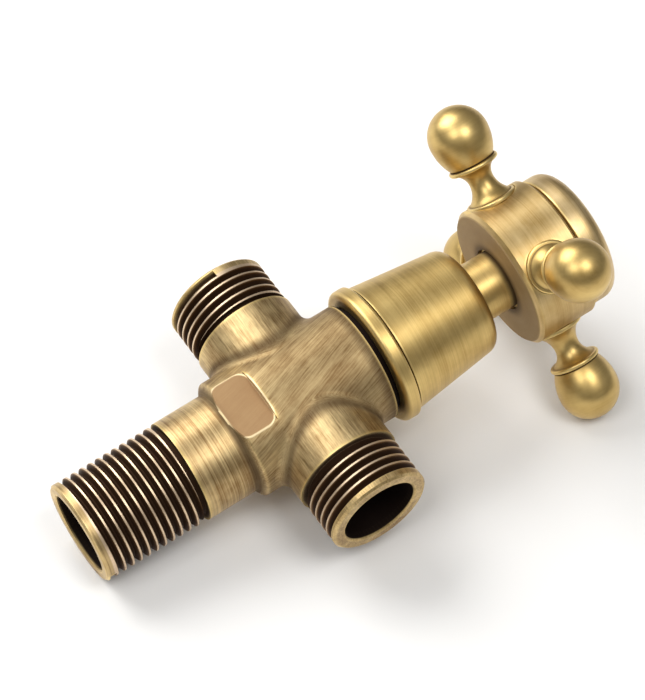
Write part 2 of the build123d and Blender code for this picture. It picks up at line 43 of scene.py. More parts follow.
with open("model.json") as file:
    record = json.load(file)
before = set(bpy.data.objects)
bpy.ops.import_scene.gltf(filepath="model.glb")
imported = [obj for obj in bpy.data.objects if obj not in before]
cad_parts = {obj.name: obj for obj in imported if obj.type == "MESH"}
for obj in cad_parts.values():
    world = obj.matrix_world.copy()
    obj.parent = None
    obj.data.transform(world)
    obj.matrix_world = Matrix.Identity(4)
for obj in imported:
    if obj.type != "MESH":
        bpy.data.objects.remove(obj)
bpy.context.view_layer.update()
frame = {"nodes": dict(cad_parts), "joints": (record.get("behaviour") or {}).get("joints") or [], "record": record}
MM = 0.001


# ---- The valve's own frame: X along the stem towards the handle, Y towards outlet 1 ----
def valve_frame():
    """The move from the valve's own frame to the row frame, read from the joint and the outlet mounts."""
    places = {mount["name"]: mount for mount in frame["record"]["mounts"]}
    first = places["outlet_1_thread"]
    second = places["outlet_2_thread"]
    stem = Vector(frame["joints"][0]["axis"]).normalized()
    across = Vector(first["axis"]).normalized()
    centre = (Vector(first["pos_m"]) + Vector(second["pos_m"])) / 2
    turn = Matrix((stem, across, stem.cross(across))).transposed()
    return Matrix.Translation(centre) @ turn.to_4x4()


VALVE = valve_frame()


def cad_points(node):
    """A CAD node's points in the valve's own frame, one row each."""
    vertices = frame["nodes"][node].data.vertices
    points = np.empty(len(vertices) * 3, np.float32)
    vertices.foreach_get("co", points)
    back = np.array(VALVE.inverted())
    return points.reshape(-1, 3) @ back[:3, :3].T + back[:3, 3]


def turned_size(node):
    """The lowest x, the highest x and the largest radius of a node that is turned about the stem."""
    points = cad_points(node)
    radius = np.hypot(points[:, 1], points[:, 2])
    return float(points[:, 0].min()), float(points[:, 0].max()), float(radius.max())


# ---- Sizes and colours that a user would change ----
def size_field(name, description, millimetres):
    """A length property given in millimetres and held in metres."""
    return bpy.props.FloatProperty(
        name=name, description=description, default=millimetres * MM, subtype="DISTANCE", precision=5
    )


def colour_field(name, description, code):
    """A colour property given as an sRGB hex code and held as a linear colour."""
    return bpy.props.FloatVectorProperty(
        name=name, description=description, default=linear(code)[:3], subtype="COLOR", min=0.0, max=1.0
    )


def linear(code):
    """A linear RGBA colour from an sRGB hex code such as C9A765."""
    channels = [int(code[i : i + 2], 16) / 255 for i in (0, 2, 4)]
    curved = [c / 12.92 if c <= 0.04045 else ((c + 0.055) / 1.055) ** 2.4 for c in channels]
    return (*curved, 1.0)


class ValveSizes(bpy.types.PropertyGroup):
    """The edges and grooves of the turned pieces. Their main sizes come from the CAD model."""

    bead_length: size_field("Bead length", "Length of the bonnet cover's bead along the stem", 3.1)
    bead_round: size_field("Bead rounding", "Rounding of the bead's two edges", 1.1)
    bead_step: size_field("Bead step", "How far the bead stands out from the cover's wall", 0.8)
    groove_width: size_field("Groove width", "Width of the groove behind the bead", 0.35)
    groove_depth: size_field("Groove depth", "Depth of the groove behind the bead", 0.3)
    cover_taper: size_field("Cover taper", "How much the cover's radius shrinks towards the handle", 2.5)
    cover_round: size_field("Cover rounding", "Rounding of the cover's shoulder", 4.2)
    cover_wall: size_field("Cover wall", "Wall thickness of the cover", 1.3)
    seat_radius: size_field("Seat radius", "Radius of the hole that screws on to the body", 11.25)
    seat_length: size_field("Seat length", "Length of the hole that screws on to the body", 2.05)
    small_round: size_field("Small rounding", "Rounding of broken edges and of groove corners", 0.12)
    sleeve_gap: size_field("Sleeve gap", "Gap between the sleeve and the hole in the cover", 0.3)
    sleeve_wall: size_field("Sleeve wall", "Wall thickness of the stem sleeve", 1.55)
    foot_radius: size_field("Foot radius", "Radius of the round foot of a handle arm", 5.2)
    foot_thickness: size_field("Foot thickness", "Thickness of the arm's foot", 0.85)
    waist_radius: size_field("Waist radius", "Radius of the thinnest part of an arm", 2.55)
    collar_radius: size_field("Collar radius", "Radius of the collar under the ball", 5.2)
    collar_thickness: size_field("Collar thickness", "Thickness of the collar under the ball", 0.85)
    ball_radius: size_field("Ball radius", "Radius of the ball at the end of an arm", 6.2)
    ball_back: size_field("Ball back", "Length of the half-ellipse behind the ball's middle", 8.6)
    ball_length: size_field("Ball length", "Length from the collar to the end of the ball", 12.05)
    waist_to_collar: size_field("Waist to collar", "Distance from the waist to the collar", 3.0)
    waist_to_foot: size_field("Waist to foot", "Distance from the waist to the foot", 3.95)
    arm_lip: size_field("Arm lip", "Step between a foot or collar and the waist's arc", 0.65)
    collar_round: size_field("Collar rounding", "Rounding of the edges of the foot and collar", 0.35)
    tenon_radius: size_field("Tenon radius", "Radius of the tenon in the hub", 2.3)
    tenon_length: size_field("Tenon length", "Length of the tenon in the hub", 4.6)
    cap_round: size_field("Cap rounding", "Rounding of the cap's outer edge", 4.5)
    cap_edge_round: size_field("Cap edge rounding", "Rounding of the edge next to the hub", 0.35)
    cap_dome: size_field("Cap dome", "How far the cap's face bulges", 0.7)
    cap_gap: size_field("Cap gap", "Gap between the hub and the cap's rim", 0.5)
    cap_neck: size_field("Cap neck", "How far the gap under the cap's rim is cut in", 1.1)
    cap_plug: size_field("Cap plug", "Radius of the plug under the cap", 10.9)
    cap_wall: size_field("Cap wall", "Wall thickness of the plug", 1.9)
    cap_roof: size_field("Cap roof", "Thickness of the cap at its face", 3.4)
    ring_width: size_field("Ring groove width", "Width of the plug's groove for its ring", 1.3)
    ring_depth: size_field("Ring groove depth", "Depth of the plug's groove for its ring", 0.9)


class ValveColours(bpy.types.PropertyGroup):
    """The colours of the aged brass and of the floor."""

    # Also painted on the outer edges: rubbed wear with a painted highlight.
    brass: colour_field("Brass", "Turned metal where the ageing is rubbed off", "E8CC88")
    aged_brass: colour_field("Aged brass", "The general tone of the turned metal", "A98749")
    rubbed_body: colour_field("Rubbed body", "The body's metal where the ageing is rubbed off", "DEC490")
    aged_body: colour_field("Aged body", "The general tone of the body's metal", "8E7048")
    worn_cap: colour_field("Worn cap", "The cap's metal where hands have rubbed it", "EED6A6")
    # Besides the brown film in the corners, this colour paints shade beside the cover, on the barrel, round the
    # branch roots, behind the shoulder and on the sleeve's end, and the shadow round the sleeve under the hub.
    patina_and_shade: colour_field("Patina", "Brown film in the corners and grooves", "3B2615")
    # Besides the dark film in the thread valleys, this colour paints the shade in the bores and in the gap behind
    # the cover's bead.
    valley_black_and_shade: colour_field("Thread valley", "The nearly black film left in the threads", "1A0F0A")
    flat_brass: colour_field("Flat", "The dull pinkish face of the wrench flat", "A68560")
    floor: colour_field("Floor", "The pale floor that the valve lies on", "F4F3F1")


# ---- Outlines: rows of (x along the axis, radius) ----
# A rounding takes at most this share of a run that the next corner also rounds, or else of a whole run.
SHARED_RUN = 0.49
WHOLE_RUN = 0.98
ARC_STEPS = 9
SAME_PLACE = 1e-7
FINE_STEP = 0.45 * MM
EDGE_SPREAD = 0.28 * MM


def rounded(corners):
    """An outline from rows of (x, radius, rounding).

    A rounded corner becomes an arc that touches both of its sides. With h as half of the corner's inner
    angle, the arc's centre lies rounding / sin h from the corner along the line that halves the angle.
    """
    rows = np.array(corners, float)
    pieces = []
    for number, (x, radius, rounding) in enumerate(rows):
        corner = np.array((x, radius))
        if rounding == 0:
            pieces.append(corner[None])
            continue
        before = rows[number - 1, :2] - corner
        after = rows[number + 1, :2] - corner
        before_length = np.linalg.norm(before)
        after_length = np.linalg.norm(after)
        before /= before_length
        after /= after_length
        half = math.acos(np.clip(before @ after, -1, 1)) / 2
        shares = [SHARED_RUN if rows[k % len(rows), 2] else WHOLE_RUN for k in (number - 1, number + 1)]
        reach = min(rounding / math.tan(half), shares[0] * before_length, shares[1] * after_length)
        bend = reach * math.tan(half)
        middle = (before + after) / np.linalg.norm(before + after)
        centre = corner + middle * bend / math.sin(half)
        sweep = math.pi - 2 * half
        share = np.linspace(0, 1, ARC_STEPS)[:, None]
        start = corner + before * reach - centre
        end = corner + after * reach - centre
        arc = (np.sin((1 - share) * sweep) * start + np.sin(share * sweep) * end) / math.sin(sweep)
        pieces.append(arc + centre)
    return np.concatenate(pieces)


def distances(outline):
    """The distance along an outline from its first point to each point."""
    steps = np.linalg.norm(np.diff(outline, axis=0), axis=1)
    return np.concatenate(([0.0], np.cumsum(steps)))


def evenly_filled(outline):
    """The same outline with extra points on its long runs, no more than FINE_STEP apart."""
    along = distances(outline)
    keep = np.concatenate(([True], np.diff(along) > SAME_PLACE))
    along, outline = along[keep], outline[keep]
    extra = np.linspace(0, along[-1], int(along[-1] / FINE_STEP) + 2)
    far = np.abs(extra[:, None] - along).min(axis=1) > FINE_STEP / 3
    places = np.sort(np.concatenate((along, extra[far])))
    return np.stack([np.interp(places, along, outline[:, k]) for k in (0, 1)], axis=1)


def edge_strength(outline):
    """How sharply an outline turns near each point: above 0 on an outer edge, below 0 in a corner.

    It is the turn in radians at every point, spread over its neighbours with a bell curve of distance.
    """
    sides = np.diff(outline, axis=0)
    heading = np.unwrap(np.arctan2(sides[:, 1], sides[:, 0]))
    turn = np.concatenate(([0.0], -np.diff(heading), [0.0]))
    along = distances(outline)
    bell = np.exp(-(((along[:, None] - along) / EDGE_SPREAD) ** 2))
    return bell @ turn


# ---- Surfaces ----
def turned_piece(node, corners, place, around, body, finish):
    """A solid of revolution that stands for a CAD node, with its finish.

    For the outline's points (x, r) and equal angles a, its surface is the grid of points
    (x, r cos a, r sin a), moved to its place. Where the outline starts or ends on the axis, the grid
    closes in one point. Otherwise the outline is a ring's section, and its end joins its start.
    """
    outline = evenly_filled(rounded(corners))
    on_axis = outline[0, 1] == 0
    rings = outline[1:-1] if on_axis else outline[:-1]
    count = len(rings)
    angle = np.linspace(0, 2 * math.pi, around, endpoint=False)
    grid = np.empty((count, around, 3))
    grid[..., 0] = rings[:, :1]
    grid[..., 1] = rings[:, 1:] * np.cos(angle)
    grid[..., 2] = rings[:, 1:] * np.sin(angle)
    number = np.arange(count * around).reshape(count, around)
    beside = np.roll(number, -1, axis=1)
    if on_axis:
        quads = np.stack((number[:-1], beside[:-1], beside[1:], number[1:]), axis=-1).reshape(-1, 4)
    else:
        above, beside_above = np.roll(number, -1, axis=0), np.roll(beside, -1, axis=0)
        quads = np.stack((number, beside, beside_above, above), axis=-1).reshape(-1, 4)
    points = grid.reshape(-1, 3)
    faces = quads.tolist()
    edges = edge_strength(outline)
    along = distances(outline)
    if on_axis:
        first, last = len(points), len(points) + 1
        points = np.concatenate((points, [(outline[0, 0], 0, 0), (outline[-1, 0], 0, 0)]))
        start = np.stack((np.full(around, first), beside[0], number[0]), axis=-1)
        end = np.stack((np.full(around, last), number[-1], beside[-1]), axis=-1)
        faces += start.tolist() + end.tolist()
        edges = np.concatenate((np.repeat(edges[1:-1], around), edges[[0, -1]]))
        grain = ring_grain(along[1:-1], angle, along[[0, -1]])
    else:
        edges = np.repeat(edges[:-1], around)
        grain = ring_grain(along[:-1], angle, [])
    name = node + "_turned"
    mesh = bpy.data.meshes.new(name)
    mesh.from_pydata(points.tolist(), [], faces)
    mesh.materials.append(finish)
    mesh.transform(place)
    mesh.attributes.new("edge", "FLOAT", "POINT").data.foreach_set("value", edges.astype(np.float32))
    vectors = mesh.attributes.new("grain", "FLOAT_VECTOR", "POINT")
    vectors.data.foreach_set("vector", grain.astype(np.float32).ravel())
    mesh.polygons.foreach_set("use_smooth", np.ones(len(mesh.polygons), bool))
    mesh.update()
    piece = bpy.data.objects.new(name, mesh)
    bpy.context.scene.collection.objects.link(piece)
    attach(piece, body)
    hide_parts(node)


def ring_grain(along, angle, poles):
    """A place on a turned surface for its brushing: (millimetres along the outline, cos a, sin a)."""
    grain = np.empty((len(along), len(angle), 3))
    grain[..., 0] = along[:, None] / MM
    grain[..., 1] = np.cos(angle)
    grain[..., 2] = np.sin(angle)
    ends = [(place / MM, 0.0, 0.0) for place in poles]
    return np.concatenate((grain.reshape(-1, 3), np.reshape(ends, (-1, 3))))


# ---- Nodes ----
def add(tree, kind, inputs=None, stops=None, **settings):
    """Adds one node: its inputs by name or number, as values or outputs, its ramp's stops and settings."""
    node = tree.nodes.new(kind)
    for name, value in settings.items():
        setattr(node, name, value)
    for socket, value in (inputs or {}).items():
        if isinstance(value, bpy.types.NodeSocket):
            tree.links.new(value, node.inputs[socket])
        else:
            node.inputs[socket].default_value = value
    for number, (position, colour) in enumerate(stops or ()):
        if number > 1:
            node.color_ramp.elements.new(position)
        node.color_ramp.elements[number].position = position
        node.color_ramp.elements[number].color = colour
    return node


def new_material(name):
    """An empty node material, its tree and its surface shader."""
    material = bpy.data.materials.new(name)
    material.use_nodes = True
    tree = material.node_tree
    shader = tree.nodes["Principled BSDF"]
    return material, tree, shader


def valve_place(tree):
    """The shading point in the valve's own frame, in millimetres."""
    back = VALVE.inverted()
    place = add(tree, "ShaderNodeTexCoord").outputs["Object"]
    settings = {
        "Vector": place,
        "Location": back.translation / MM,
        "Rotation": back.to_euler("XYZ"),
        "Scale": (1 / MM,) * 3,
    }
    return add(tree, "ShaderNodeMapping", settings, vector_type="POINT").outputs[0]


def grey(value):
    """An opaque grey for a ramp's stop."""
    return (value, value, value, 1.0)


def radius_about(tree, place, keep):
    """The distance from an axis: the length of the place with the axis's own part left out."""
    flat = add(tree, "ShaderNodeVectorMath", {0: place, 1: keep}, operation="MULTIPLY").outputs[0]
    return add(tree, "ShaderNodeVectorMath", {0: flat}, operation="LENGTH").outputs["Value"]


def band(tree, value, low, high, soft):
    """1 where a value lies between low and high and 0 elsewhere, with ends as soft as given."""
    rise, fall = (
        add(
            tree,
            "ShaderNodeMapRange",
            {"Value": value, "From Min": end - reach, "From Max": end + reach},
            interpolation_type="SMOOTHSTEP",
        ).outputs[0]
        for end, reach in ((low, soft), (high, -soft))
    )
    return add(tree, "ShaderNodeMath", {0: rise, 1: fall}, operation="MULTIPLY").outputs[0]


# ---- Ageing, and the painted highlight on outer edges ----
# How far the search for a corner and for an outer edge reaches, in millimetres, and the share of open
# directions at which each begins and is full.
OPEN_SAMPLES = 8
CORNER_REACH = 8
EDGE_REACH = 0.8
BEGINS = 0.93
CORNER_FULL = 0.45
EDGE_FULL = 0.55
# A noise's detail and roughness.
LINE_NOISE = (4.0, 0.62)
BAND_NOISE = (2.0, 0.5)
CLOUD_NOISE = (4.0, 0.6)
# Clouds of ageing are about 7 mm across.
CLOUD_WAVES = 0.14
# The range in which most of a noise lies.
NOISE_LOW = 0.3
NOISE_HIGH = 0.7
NOISE_RANGE = {"From Min": NOISE_LOW, "From Max": NOISE_HIGH}
# What the film, and the painted shade that goes with it, add to the metal's roughness and to its metallic share.
FILM_ROUGHNESS = 0.3
FILM_METALLIC = -0.45
METAL_SPECULAR = 0.2


def corners_and_edges(tree):
    """How deep a point lies in a corner, and how near it is to an outer edge, each from 0 to 1."""
    shares = []
    for reach, inside, full in ((CORNER_REACH, False, CORNER_FULL), (EDGE_REACH, True, EDGE_FULL)):
        clear = add(
            tree,
            "ShaderNodeAmbientOcclusion",
            {"Distance": reach * MM},
            samples=OPEN_SAMPLES,
            only_local=True,
            inside=inside,
        ).outputs["AO"]
        ends = {"Value": clear, "From Min": BEGINS, "From Max": full}
        shares.append(add(tree, "ShaderNodeMapRange", ends).outputs[0])
    return shares


def ageing(tree, place, fine, wide, wide_waves):
    """Three noises that lie round 0.5: lines along a fine grain, bands along a wide one, and clouds."""
    rows = ((fine, 1.0, *LINE_NOISE), (wide, wide_waves, *BAND_NOISE), (place, CLOUD_WAVES, *CLOUD_NOISE))
    return [
        add(
            tree,
            "ShaderNodeTexNoise",
            {"Vector": vector, "Scale": waves, "Detail": detail, "Roughness": roughness},
        ).outputs["Fac"]
        for vector, waves, detail, roughness in rows
    ]


def aged_tone(tree, patterns, weights, aged, rubbed):
    """Aged and rubbed metal blended by the brush lines, the broad bands and the clouds of ageing.

    Each pattern lies round 0.5. Its part in the blend is its weight times how far it is from 0.5.
    """
    share = 0.5
    for pattern, weight in zip(patterns, weights):
        centred = add(tree, "ShaderNodeMath", {0: pattern, 1: 0.5}, operation="SUBTRACT").outputs[0]
        share = add(
            tree, "ShaderNodeMath", {0: centred, 1: weight, 2: share}, operation="MULTIPLY_ADD"
        ).outputs[0]
    blend = {0: share, 6: (*aged, 1.0), 7: (*rubbed, 1.0)}
    return add(tree, "ShaderNodeMix", blend, data_type="RGBA").outputs[2]


def coated(tree, colour, coats):
    """A colour under coats, each given as where it lies, how far it covers there and its own colour."""
    for where, cover, coat in coats:
        share = add(tree, "ShaderNodeMath", {0: where, 1: cover}, operation="MULTIPLY").outputs[0]
        if not isinstance(coat, bpy.types.NodeSocket):
            coat = (*coat[:3], 1.0)
        colour = add(tree, "ShaderNodeMix", {0: share, 6: colour, 7: coat}, data_type="RGBA").outputs[2]
    return colour


def finish_metal(tree, shader, colour, lines, film_and_shade, rough_low, rough_high, depth):
    """Joins the colour, brushed roughness, the dulling of the brown film and the painted shade, and brush relief
    to a metal's shader.
    """
    ends = {**NOISE_RANGE, "To Min": rough_low, "To Max": rough_high}
    brushed = add(tree, "ShaderNodeMapRange", {"Value": lines, **ends}).outputs[0]
    rough, metallic = (
        add(tree, "ShaderNodeMath", {0: film_and_shade, 1: change, 2: bare}, operation="MULTIPLY_ADD").outputs[0]
        for change, bare in ((FILM_ROUGHNESS, brushed), (FILM_METALLIC, 1.0))
    )
    relief = add(
        tree, "ShaderNodeBump", {"Strength": 1.0, "Distance": depth * MM, "Height": lines}
    ).outputs[0]
    shader.inputs["Specular IOR Level"].default_value = METAL_SPECULAR
    tree.links.new(colour, shader.inputs["Base Color"])
    tree.links.new(rough, shader.inputs["Roughness"])
    tree.links.new(metallic, shader.inputs["Metallic"])
    tree.links.new(relief, shader.inputs["Normal"])


# ---- Brass finishes, with painted shade and painted highlights ----
# Places in the valve's own frame, in millimetres. A thread's middle is its mount's place.
BODY_POINTS = cad_points("valve_body") / MM
THREAD_MIDDLES = {
    mount["name"]: VALVE.inverted() @ Vector(mount["pos_m"]) / MM for mount in frame["record"]["mounts"]
}
PORT_FACE_X = float(BODY_POINTS[:, 0].min())
PORT_FACE_Y = float(BODY_POINTS[:, 1].max())
INLET_THREAD_X = 2 * THREAD_MIDDLES["inlet_thread"].x - PORT_FACE_X
OUTLET_THREAD_Y = 2 * THREAD_MIDDLES["outlet_1_thread"].y - PORT_FACE_Y
HUB_FACE_X = turned_size("handle_hub")[0] / MM
SLEEVE_RADIUS = turned_size("handle_sleeve")[2] / MM
THREAD_CREST = 10.48
THREAD_DEPTH = 1.16
TAIL_X = -15.2
BARREL_RADIUS = 12.5
COVER_SIDE_X = 13.2
BARREL_END_X = 15.15
BARREL_START_X = -7.0
FLAT_Z = 10.7
FLAT_MIDDLE_X = -11.5
FLAT_HALF = (4.1, 6.45)
FLAT_CORNER = 2.4
BORE_RADIUS = 8.3
BORE_X = -10.0
CHAMBER_Y = 9.0
PORT_LAND = 1.6
FAR = 200.0

# Bands that those places bound: the lower end, the upper end and how soft both are.
BRANCHES = (BARREL_RADIUS + 0.6, FAR, 0.6)
TAIL = (-FAR, TAIL_X, 0.1)
OUTLET_THREADS = (OUTLET_THREAD_Y, PORT_FACE_Y - PORT_LAND, 0.15)
INLET_THREAD = (PORT_FACE_X + PORT_LAND, INLET_THREAD_X, 0.15)
# BESIDE_COVER, PAST_FLAT, BRANCH_ROOTS and BEHIND_SHOULDER bound painted shade on the body. BEHIND_BEAD and the
# bore bands bound near-black painted shade. BESIDE_HUB, SLEEVE and ROUND_SLEEVE bound painted shade on the sleeve
# and under the hub.
BESIDE_COVER = (COVER_SIDE_X, FAR, 3.2)
PAST_FLAT = (BARREL_START_X, FAR, 1.5)
BRANCH_ROOTS = (BARREL_RADIUS + 0.3, BARREL_RADIUS + 2.2, 0.9)
BEHIND_SHOULDER = (TAIL_X - 1.3, TAIL_X + 0.3, 0.6)
FLAT_HEIGHT = (FLAT_Z - 0.25, FAR, 0.03)
FLAT_INSIDE = (-FAR, -0.1, 0.12)
FLAT_RIM = (-0.2, 0.22, 0.14)
INLET_RUN = (PORT_FACE_X + 0.5, BORE_X, 0.3)
INLET_BORE = (-1.0, BORE_RADIUS, 0.1)
OUTLET_RUN = (CHAMBER_Y, PORT_FACE_Y - 0.3, 0.2)
OUTLET_BORE = (-1.0, BORE_RADIUS - 0.4, 0.1)
BEHIND_BEAD = (BARREL_END_X, FAR, 0.05)
BESIDE_HUB = (HUB_FACE_X - 0.7, HUB_FACE_X + 5, 0.7)
SLEEVE = (-1.0, SLEEVE_RADIUS + 0.3, 0.1)
HUB_UNDERSIDE = (-FAR, HUB_FACE_X + 0.2, 0.05)
ROUND_SLEEVE = (-1.0, SLEEVE_RADIUS + 1.6, 1.2)

# Waves to a millimetre along X, Y and Z. Emery strokes and tool marks are about 0.1 mm apart. They are drawn
# about 0.3 mm apart, so that they show.
RING_WAVES = (4.2, 0.05, 0.05)
STROKE_WAVES = (0.22, 3.4, 3.4)
BRANCH_WAVES = (3.4, 0.22, 3.4)
TURNED_WAVES = (3.6, 0.7, 0.7)
HUB_WAVES = (3.6, 0.05, 0.05)
# The strokes wind round the barrel, by radians to a millimetre.
STROKE_TWIST = 0.028
# Rubbed bands are about 1.3 mm wide on the body, 1.7 mm on the hub and 3 mm on the turned pieces. The first
# two are a share of the fine grain's waves.
BODY_BANDS = 0.22
HUB_BANDS = 0.16
TURNED_BANDS = (0.35, 0.5, 0.5)

# How far each coat covers the metal, from 0 to 1.
# The first three give painted shade on the body: beside the cover, on the barrel, and round the branch roots and
# behind the shoulder.
SHADE_BESIDE_COVER = 0.95
SHADE_ON_BARREL = 0.36
SHADE_IN_LINES = 0.75
BODY_FILM_AND_SHADE = 0.95
TURNED_FILM_AND_SHADE = 0.92
HUB_FILM = 0.9
FLAT_DULL = 0.85
UNDERSIDE_DULL = 0.75
# Finishes: the weights of lines, bands and clouds, the range of roughness, and the relief's depth in mm.
BODY_FINISH = ((2.0, 1.0, 1.8), 0.38, 0.5, 0.012)
TURNED_FINISH = ((0.8, 0.5, 0.9), 0.37, 0.45, 0.004)
CAP_FINISH = ((0.8, 0.7, 1.2), 0.37, 0.45, 0.004)
POLISHED_FINISH = ((0.3, 0.5, 1.0), 0.37, 0.41, 0.0006)
HUB_FINISH = ((0.9, 0.8, 1.3), 0.38, 0.48, 0.006)
# The turn of a turned outline, in radians, at which its film, and its wear with a painted highlight, begin and are
# full.
FILM_TURN = (-0.1, -0.8)
WEAR_AND_HIGHLIGHT_TURN = (0.15, 1.0)
MOST_WEAR_AND_HIGHLIGHT = 0.8
# A thread's colours from its crest down, by the share of its depth.
THREAD_TONES = ((0.0, "E2CAAB"), (0.08, "A07C55"), (0.3, "50351F"))
VALLEY_STARTS = 0.65
RIM_TONE = "F0DCB0"
UNDERSIDE_TONE = "957E5E"


def outline_distance(tree, place):
    """The distance from the outline of a wrench flat, less than 0 inside it.

    The outline is a rectangle with round corners. With q as how far a point is from the middle less the
    half size of the rectangle of corner centres, the distance is the length of q's positive part, plus
    q's largest part where that is under 0, less the corners' radius.
    """
    centred = add(
        tree, "ShaderNodeVectorMath", {0: place, 1: (FLAT_MIDDLE_X, 0, 0)}, operation="SUBTRACT"
    ).outputs[0]
    folded = add(tree, "ShaderNodeVectorMath", {0: centred}, operation="ABSOLUTE").outputs[0]
    halves = (FLAT_HALF[0] - FLAT_CORNER, FLAT_HALF[1] - FLAT_CORNER, FAR)
    beyond = add(tree, "ShaderNodeVectorMath", {0: folded, 1: halves}, operation="SUBTRACT").outputs[0]
    outer = add(tree, "ShaderNodeVectorMath", {0: beyond, 1: (0, 0, 0)}, operation="MAXIMUM").outputs[0]
    length = add(tree, "ShaderNodeVectorMath", {0: outer}, operation="LENGTH").outputs["Value"]
    distance, second, _ = add(tree, "ShaderNodeSeparateXYZ", {0: beyond}).outputs
    steps = (("MAXIMUM", second), ("MINIMUM", 0.0), ("ADD", length), ("SUBTRACT", FLAT_CORNER))
    for operation, value in steps:
        distance = add(tree, "ShaderNodeMath", {0: distance, 1: value}, operation=operation).outputs[0]
    return distance


def aged_cast_brass():
    """Cast brass, machined, chemically aged and then rubbed back by hand.

    The eye gets brush strokes that follow each part, turned rings on the tail, a brown film in the corners, outer
    edges rubbed bright with a painted highlight, almost black threads with pale crests, a dull face on each wrench
    flat, and painted shade: near black in the bores and behind the cover's bead, and brown beside the cover, on
    the barrel, round the roots of the branches and behind the shoulder.
    """
    colours = bpy.context.scene.valve_colours
    material, tree, shader = new_material("aged_cast_brass")
    place = valve_place(tree)
    along, across, up = add(tree, "ShaderNodeSeparateXYZ", {0: place}).outputs
    side = add(tree, "ShaderNodeMath", {0: across}, operation="ABSOLUTE").outputs[0]
    height = add(tree, "ShaderNodeMath", {0: up}, operation="ABSOLUTE").outputs[0]
    from_stem = radius_about(tree, place, (0, 1, 1))
    from_ports = radius_about(tree, place, (1, 0, 1))
    film_and_shade, wear_and_highlight = corners_and_edges(tree)

    # The strokes follow the barrel, run along each branch and ring the tail.
    twist = add(tree, "ShaderNodeMath", {0: along, 1: STROKE_TWIST}, operation="MULTIPLY").outputs[0]
    twisted = {"Vector": place, "Axis": (1, 0, 0), "Angle": twist}
    turned = add(tree, "ShaderNodeVectorRotate", twisted, rotation_type="AXIS_ANGLE").outputs[0]
    grain = add(tree, "ShaderNodeMapping", {"Vector": turned, "Scale": STROKE_WAVES}).outputs[0]
    on_branch = band(tree, from_stem, *BRANCHES)
    on_tail = band(tree, along, *TAIL)
    for share, waves in ((on_branch, BRANCH_WAVES), (on_tail, RING_WAVES)):
        runs = add(tree, "ShaderNodeMapping", {"Vector": place, "Scale": waves}).outputs[0]
        grain = add(tree, "ShaderNodeMix", {0: share, 4: grain, 5: runs}, data_type="VECTOR").outputs[1]
    patterns = ageing(tree, place, grain, grain, BODY_BANDS)
    colour = aged_tone(tree, patterns, BODY_FINISH[0], colours.aged_body, colours.rubbed_body)

    # The threads: pale crests, brown flanks and almost black valleys.
    on_outlets = band(tree, side, *OUTLET_THREADS)
    on_inlet = band(tree, along, *INLET_THREAD)
    threads = add(tree, "ShaderNodeMath", {0: on_outlets, 1: on_inlet}, operation="MAXIMUM").outputs[0]
    off_threads = add(tree, "ShaderNodeMath", {0: 1.0, 1: threads}, operation="SUBTRACT").outputs[0]
    radius = add(
        tree, "ShaderNodeMix", {0: on_outlets, 2: from_stem, 3: from_ports}, data_type="FLOAT"
    ).outputs[0]
    depth = add(
        tree,
        "ShaderNodeMapRange",
        {"Value": radius, "From Min": THREAD_CREST, "From Max": THREAD_CREST - THREAD_DEPTH},
    ).outputs[0]
    stops = [(position, linear(code)) for position, code in THREAD_TONES]
    stops.append((VALLEY_STARTS, (*colours.valley_black_and_shade, 1.0)))
    thread_colour = add(tree, "ShaderNodeValToRGB", {0: depth}, stops=stops).outputs[0]

    # Painted shade darkens the body next to the cover, round the roots of the branches and behind the shoulder.
    # The barrel is darkened too, as painted shade in place of the weaker reflection of its lengthwise strokes.
    past_flat = band(tree, along, *PAST_FLAT)
    on_barrel = add(tree, "ShaderNodeMix", {0: on_branch, 2: past_flat, 3: 0.0}, data_type="FLOAT").outputs[0]
    for where, cover in (
        (band(tree, along, *BESIDE_COVER), SHADE_BESIDE_COVER),
        # painted shade on the barrel, in place of the weaker reflection of its lengthwise strokes
        (on_barrel, SHADE_ON_BARREL),
        (band(tree, from_stem, *BRANCH_ROOTS), SHADE_IN_LINES),
        (band(tree, along, *BEHIND_SHOULDER), SHADE_IN_LINES),
    ):
        kept = add(tree, "ShaderNodeMath", {0: where, 1: cover}, operation="MULTIPLY").outputs[0]
        film_and_shade = add(tree, "ShaderNodeMath", {0: film_and_shade, 1: kept}, operation="MAXIMUM").outputs[0]

    # The wrench flats are sawn and left dull.
    from_outline = outline_distance(tree, place)
    on_height = band(tree, height, *FLAT_HEIGHT)
    inside = band(tree, from_outline, *FLAT_INSIDE)
    dull = add(tree, "ShaderNodeMath", {0: on_height, 1: inside}, operation="MULTIPLY").outputs[0]
    dull = add(tree, "ShaderNodeMath", {0: dull, 1: FLAT_DULL}, operation="MULTIPLY").outputs[0]

    # Painted shade: the waterways' bores and the gap behind the cover's bead are painted near black.
    black = band(tree, along, *BEHIND_BEAD)
    for run, run_band, radial, bore_band in (
        (along, INLET_RUN, from_stem, INLET_BORE),
        (side, OUTLET_RUN, from_ports, OUTLET_BORE),
    ):
        bore = {0: band(tree, run, *run_band), 1: band(tree, radial, *bore_band)}
        bore = add(tree, "ShaderNodeMath", bore, operation="MULTIPLY").outputs[0]
        black = add(tree, "ShaderNodeMath", {0: black, 1: bore}, operation="MAXIMUM").outputs[0]

